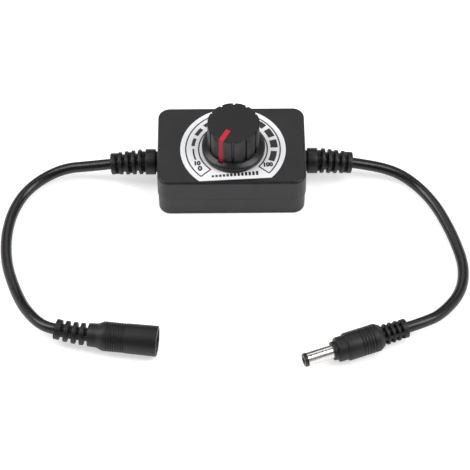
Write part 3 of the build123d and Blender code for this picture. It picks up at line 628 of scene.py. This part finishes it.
def make_knob():
    """Fluted knob with a crisp top edge on a flared skirt, which has a pocket for the pointer's end."""
    bm = bmesh.new()
    angles = [360.0 * step / knob_steps for step in range(knob_steps)]
    outline = [fluted_radius(angle) for angle in angles]
    units = [direction(angle) for angle in angles]
    axis = Vector((*knob_middle, 0))

    def pole(height):
        return [bm.verts.new(axis + Vector((0, 0, height)))]

    def row(radii, heights):
        return [bm.verts.new(axis + unit * radius + Vector((0, 0, height)))
                for unit, radius, height in zip(units, radii, heights)]

    def inset_row(inset, height):
        return row([radius - inset for radius in outline], [height] * knob_steps)

    rows = [pole(knob_high)]
    for share in knob_shares:
        rows.append(row([radius * share for radius in outline], [knob_high] * knob_steps))
    rows.append(inset_row(knob_edge + knob_rim, knob_high))
    for turn in map(math.radians, knob_edge_turns):
        rows.append(inset_row(knob_edge * (1 - math.sin(turn)),
                              knob_high - knob_edge * (1 - math.cos(turn))))
    rows += [inset_row(0.0, height) for height in knob_levels]
    rows.append(pole(knob_foot))
    skin(bm, rows)

    pointer = direction(pointer_angle)
    across = Vector((-pointer.y, pointer.x, 0))
    profile = soften([(skirt_inside, skirt_low), (skirt_radius, skirt_low, 0.12),
                      (skirt_radius, skirt_rim, 0.18)])
    slope = (skirt_top - skirt_rim) / (skirt_radius - skirt_top_radius)
    profile += [Vector((radius, skirt_rim + (skirt_radius - radius) * slope)) for radius in slope_radii]
    profile += [Vector(corner) for corner in skirt_inner]
    loops = []
    for radius, height in profile:
        heights = []
        for unit in units:
            beside = abs((unit * radius).dot(across)) < pocket_width / 2
            pocket = beside and unit.dot(pointer) > 0 and radius < pocket_end
            heights.append(min(height, pointer_low) if pocket else height)
        loops.append(row([radius] * knob_steps, heights))
    skin(bm, loops + loops[:1])
    add_piece("knob_moulding", bm, knob_plastic, "dial_knob", "knob", sharp=30.0)


def make_pointer():
    """Red strip along the knob's top and down its side, with softened edges."""
    bm = bmesh.new()
    top = knob_high + pointer_lift
    back = pointer_face - pointer_depth
    corners = [(pointer_start, top - pointer_depth), (pointer_start, top), (pointer_face, top, 0.2),
               (pointer_face, pointer_low), (back, pointer_low), (back, top - pointer_depth)]
    out = direction(pointer_angle)
    side = Vector((out.y, -out.x, 0))
    place = Matrix((out, Vector((0, 0, 1)), side)).transposed().to_4x4()
    place.translation = Vector((*knob_middle, 0))
    prism(bm, soften(corners), -pointer_width / 2, pointer_width / 2, place)
    edges = [edge for edge in bm.edges
             if edge.is_manifold and edge.calc_face_angle() > math.radians(pointer_fold)]
    bmesh.ops.bevel(bm, geom=edges, offset=pointer_edge, segments=2, affect="EDGES")
    add_piece("pointer_strip", bm, pointer_red, "dial_knob", "pointer_line", sharp=50.0)


# Print on the dial

def dial_point(radius, angle):
    """Point of the print, by radius and angle about the dial's middle."""
    turn = math.radians(angle)
    return (label_middle[0] + radius * math.cos(turn), label_middle[1] + radius * math.sin(turn))


def print_patch(bm, outline):
    """Flat patch of ink from a list of places, just above the foil."""
    bm.faces.new([bm.verts.new((x, y, label_top + print_lift)) for x, y in outline])


def print_bow(bm, inner, outer, start, end):
    """Curved bar of ink between two radii and two angles."""
    steps = max(2, int(abs(end - start) / 2))
    turns = [start + (end - start) * step / steps for step in range(steps + 1)]
    for first, second in zip(turns, turns[1:]):
        print_patch(bm, [dial_point(inner, first), dial_point(outer, first),
                         dial_point(outer, second), dial_point(inner, second)])


def print_line(bm, first, second):
    """Straight line of ink."""
    first, second = Vector(first), Vector(second)
    run = (second - first).normalized()
    side = Vector((-run.y, run.x)) * line_width / 2
    print_patch(bm, [first + side, second + side, second - side, first - side])


def make_print():
    """Open ring outline around bars that grow clockwise, and a row of growing blocks at the front."""
    bm = bmesh.new()
    print_bow(bm, *outer_ring)
    print_bow(bm, *inner_ring)
    for inner_angle, outer_angle in zip(inner_ring[2:], outer_ring[2:]):
        print_line(bm, dial_point(ring_ends[0], inner_angle), dial_point(ring_ends[1], outer_angle))
    for bar in scale_bars:
        print_bow(bm, *bar)
    out = direction(label_turn).xy
    up = Vector((-out.y, out.x))
    for index in range(row_count):
        foot = Vector(row_middle) + out * (index - row_count // 2) * row_pitch - up * row_foot
        half = out * row_block / 2
        rise = up * (row_rise + index * row_growth)
        print_patch(bm, [foot - half, foot + half, foot + half + rise, foot - half + rise])
    add_piece("dial_print", bm, dial_ink, "controller")


def make_digits(name, words, place, height):
    """Plain number printed on the dial."""
    curve = bpy.data.curves.new(name, "FONT")
    curve.body = words
    curve.size = height * MM
    curve.align_x = "CENTER"
    curve.align_y = "CENTER"
    curve.offset = number_weight * MM
    curve.materials.append(dial_ink)
    digits = bpy.data.objects.new(name, curve)
    digits.location = metres((*place, label_top + print_lift))
    digits.rotation_euler = (0, 0, math.radians(label_turn))
    show(digits)
    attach(digits, "controller")


# Table, light and surroundings

def make_floor():
    """Wide pale table that keeps the object's shadow."""
    mesh = bpy.data.meshes.new("table_top")
    corners = [(x * table_half, y * table_half, 0) for x, y in ((-1, -1), (1, -1), (1, 1), (-1, 1))]
    mesh.from_pydata(corners, [], [(0, 1, 2, 3)])
    floor = bpy.data.objects.new("table_top", mesh)
    show(floor)
    material, tree, shader = new_material("table_white")
    shader.inputs["Base Color"].default_value = (table_tone, table_tone, table_tone, 1.0)
    shader.inputs["Roughness"].default_value = 0.9
    shader.inputs["Specular IOR Level"].default_value = 0.1
    path = tree.nodes.new("ShaderNodeLightPath")
    seen = fade(tree, path.outputs["Is Camera Ray"], (0.0, 1.0), (0.0, table_seen))
    mirrored = fade(tree, path.outputs["Is Glossy Ray"], (0.0, 1.0), (0.0, table_mirrored))
    shader.inputs["Emission Color"].default_value = (1.0, 1.0, 1.0, 1.0)
    tree.links.new(combine(tree, "MAXIMUM", seen, mirrored), shader.inputs["Emission Strength"])
    mesh.materials.append(material)


def make_world():
    """Studio surroundings: white low down at both sides, dim overhead and dim ahead and behind."""
    world = bpy.data.worlds.new("studio")
    bpy.context.scene.world = world
    world.use_nodes = True
    tree = world.node_tree
    background = tree.nodes["Background"]
    place = tree.nodes.new("ShaderNodeTexCoord")
    parts = tree.nodes.new("ShaderNodeSeparateXYZ")
    tree.links.new(place.outputs["Generated"], parts.inputs[0])
    up = fade(tree, parts.outputs["Z"], sky_span, sky_levels)
    across = tree.nodes.new("ShaderNodeMath")
    across.operation = "ABSOLUTE"
    tree.links.new(parts.outputs["X"], across.inputs[0])
    side = fade(tree, across.outputs[0], side_span, side_levels)
    background.inputs["Color"].default_value = (1.0, 1.0, 1.0, 1.0)
    tree.links.new(combine(tree, "MULTIPLY", up, side), background.inputs["Strength"])


def make_lamp(name, place, size, watts):
    """Soft rectangular lamp that points at the object."""
    light = bpy.data.lights.new(name, "AREA")
    light.shape = "RECTANGLE"
    light.size, light.size_y = size
    light.energy = watts
    lamp = bpy.data.objects.new(name, light)
    lamp.location = place
    lamp.rotation_euler = (Vector(lamp_aim) - Vector(place)).to_track_quat("-Z", "Y").to_euler()
    show(lamp)


# The making: camera and cords first

make_camera()
make_cord("supply_cord_round", "supply_cord", supply_route,
          [make_jack(), *(nodes[n] for n in ("jack_liner", "jack_sleeve", "jack_pin"))])
make_cord("motor_cord_round", "motor_cord", motor_route,
          [make_plug(), *(nodes[n] for n in ("plug_barrel", "plug_tip", "plug_contact"))])
make_relief("supply_relief_moulding", "supply_relief", -1)
make_relief("motor_relief_moulding", "motor_relief", 1)
make_knob()
make_pointer()
make_print()
for number in dial_numbers:
    make_digits(*number)
make_floor()
make_world()
for lamp in lamps:
    make_lamp(*lamp)
bpy.context.scene.view_settings.view_transform = "Standard"
